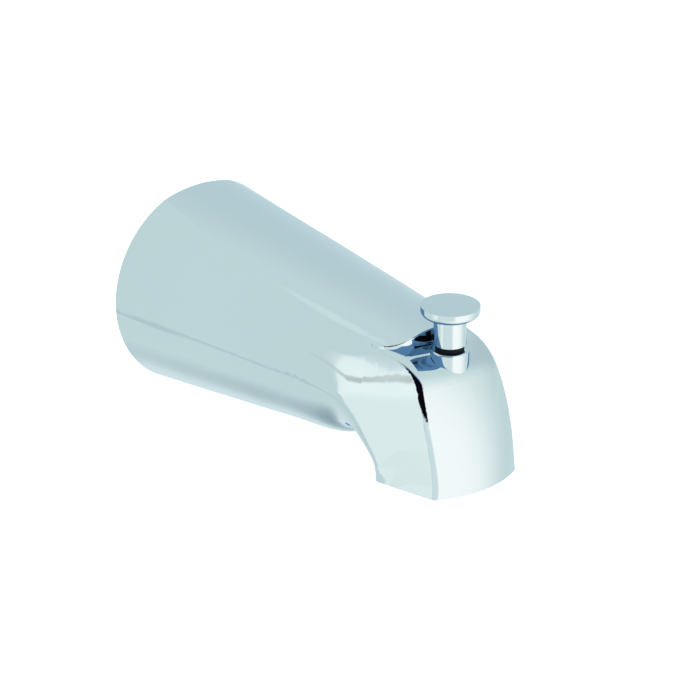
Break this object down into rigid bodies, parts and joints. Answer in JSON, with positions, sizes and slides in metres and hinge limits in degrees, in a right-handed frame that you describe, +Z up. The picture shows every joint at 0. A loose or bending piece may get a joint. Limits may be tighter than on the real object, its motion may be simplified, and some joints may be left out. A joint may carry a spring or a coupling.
{
  "type": "bath spout",
  "caption": "Wall-mounted bath spout: a tapering chrome casting with a creased top panel, down-turned nose and a pull-up diverter knob that sends water to the shower.",
  "frame": {"origin": "centre of the round wall end, on the wall's face", "axes": "+Z up, +Y into the wall, so the spout points along -Y, and X runs across it"},
  "size_m": [0.064, 0.1296, 0.0633],
  "materials": {
    "chrome_casting": "polished chrome plating",
    "chrome_knob": "polished chrome plating",
    "thread_brass": "machined brass",
    "black_plastic": "black moulded plastic",
    "seal_rubber": "black rubber",
    "stem_steel": "turned stainless steel",
    "gate_plastic": "white moulded plastic"
  },
  "bodies": {
    "spout": {"spout_body": "chrome_casting", "inlet_bushing": "thread_brass", "stem_bushing": "black_plastic", "stem_o_ring": "seal_rubber"},
    "diverter": {"diverter_knob": "chrome_knob", "lift_stem": "stem_steel", "diverter_gate": "gate_plastic", "gate_seal": "seal_rubber", "gate_clip": "stem_steel"}
  },
  "joints": [
    {"name": "diverter_lift", "type": "slide", "parent": "spout", "child": "diverter", "axis": [0, 0, 1], "range_m": [0, 0.012]}
  ]
}
